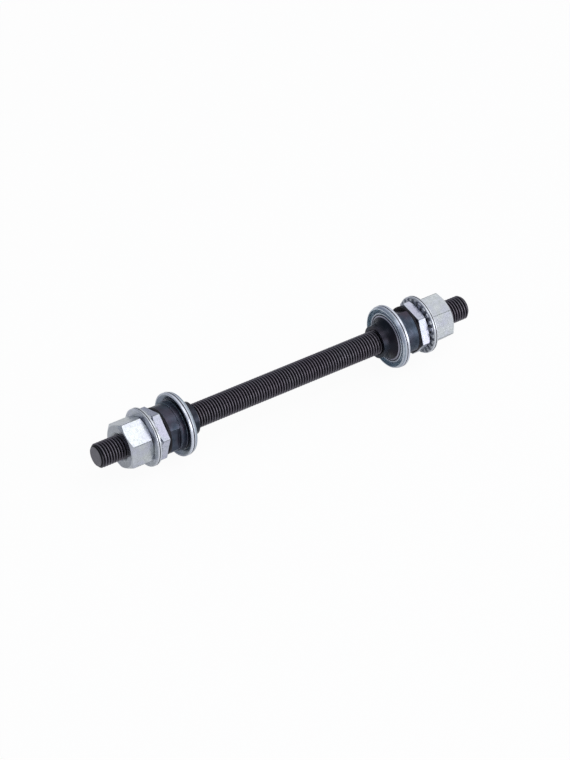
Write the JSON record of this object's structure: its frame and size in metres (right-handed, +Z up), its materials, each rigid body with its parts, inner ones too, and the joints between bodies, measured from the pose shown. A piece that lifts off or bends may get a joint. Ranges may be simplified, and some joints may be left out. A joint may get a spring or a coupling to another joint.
{
  "type": "bicycle hub axle",
  "caption": "Solid threaded front hub axle with bearing cones, dust caps, lock nuts, serrated washers and hex axle nuts at both ends.",
  "frame": {"origin": "the axle's middle, on its axis, halfway between the two lock nuts", "axes": "+Y along the axle towards the far end (right), +Z up, +X across"},
  "size_m": [0.0208, 0.14, 0.0208],
  "materials": {
    "axle_black": "black oxide on a rolled thread, faintly oiled",
    "cone_black": "blue-black oxide, satin, turning marks round the axis",
    "spacer_black": "black oxide, matt",
    "cap_zinc": "bright blue zinc plate on pressed steel",
    "nut_zinc": "bright blue zinc plate",
    "washer_zinc": "zinc plate, greyer on the toothed face"
  },
  "bodies": {
    "axle": {"axle": "axle_black"},
    "left_serrated_washer": {"left_serrated_washer": "washer_zinc"},
    "left_axle_nut": {"left_axle_nut": "nut_zinc"},
    "left_spacer_washer": {"left_spacer_washer": "spacer_black"},
    "left_cone": {"left_cone": "cone_black", "left_dust_cap": "cap_zinc"},
    "left_lock_nut": {"left_lock_nut": "nut_zinc"},
    "right_serrated_washer": {"right_serrated_washer": "washer_zinc"},
    "right_axle_nut": {"right_axle_nut": "nut_zinc"},
    "right_spacer_washer": {"right_spacer_washer": "spacer_black"},
    "right_cone": {"right_cone": "cone_black", "right_dust_cap": "cap_zinc"},
    "right_lock_nut": {"right_lock_nut": "nut_zinc"}
  },
  "joints": [
    {"name": "left_washer_slide", "type": "slide", "parent": "axle", "child": "left_serrated_washer", "axis": [0, -1, 0], "range_m": [0, 0.01368]},
    {"name": "left_axle_nut_turn", "type": "hinge", "parent": "left_serrated_washer", "child": "left_axle_nut", "pos_m": [0, -0.0575, 0], "axis": [0, -1, 0], "range_deg": [0, 5040]},
    {"name": "left_spacer_slide", "type": "slide", "parent": "axle", "child": "left_spacer_washer", "axis": [0, 1, 0], "range_m": [0, 0.03322]},
    {"name": "left_cone_turn", "type": "hinge", "parent": "left_spacer_washer", "child": "left_cone", "pos_m": [0, -0.041, 0], "axis": [0, 1, 0], "range_deg": [0, 12240]},
    {"name": "left_lock_nut_turn", "type": "hinge", "parent": "left_spacer_washer", "child": "left_lock_nut", "pos_m": [0, -0.0497, 0], "axis": [0, 1, 0], "range_deg": [0, 12240]},
    {"name": "right_washer_slide", "type": "slide", "parent": "axle", "child": "right_serrated_washer", "axis": [0, 1, 0], "range_m": [0, 0.01368]},
    {"name": "right_axle_nut_turn", "type": "hinge", "parent": "right_serrated_washer", "child": "right_axle_nut", "pos_m": [0, 0.0575, 0], "axis": [0, 1, 0], "range_deg": [0, 5040]},
    {"name": "right_spacer_slide", "type": "slide", "parent": "axle", "child": "right_spacer_washer", "axis": [0, -1, 0], "range_m": [0, 0.03322]},
    {"name": "right_cone_turn", "type": "hinge", "parent": "right_spacer_washer", "child": "right_cone", "pos_m": [0, 0.041, 0], "axis": [0, -1, 0], "range_deg": [0, 12240]},
    {"name": "right_lock_nut_turn", "type": "hinge", "parent": "right_spacer_washer", "child": "right_lock_nut", "pos_m": [0, 0.0497, 0], "axis": [0, -1, 0], "range_deg": [0, 12240]}
  ],
  "couplings": [
    {"joint": "left_axle_nut_turn", "follows": "left_washer_slide", "rad_per_m": 6431.6},
    {"joint": "left_cone_turn", "follows": "left_spacer_slide", "rad_per_m": 6431.6},
    {"joint": "left_lock_nut_turn", "follows": "left_spacer_slide", "rad_per_m": 6431.6},
    {"joint": "right_axle_nut_turn", "follows": "right_washer_slide", "rad_per_m": 6431.6},
    {"joint": "right_cone_turn", "follows": "right_spacer_slide", "rad_per_m": 6431.6},
    {"joint": "right_lock_nut_turn", "follows": "right_spacer_slide", "rad_per_m": 6431.6}
  ]
}
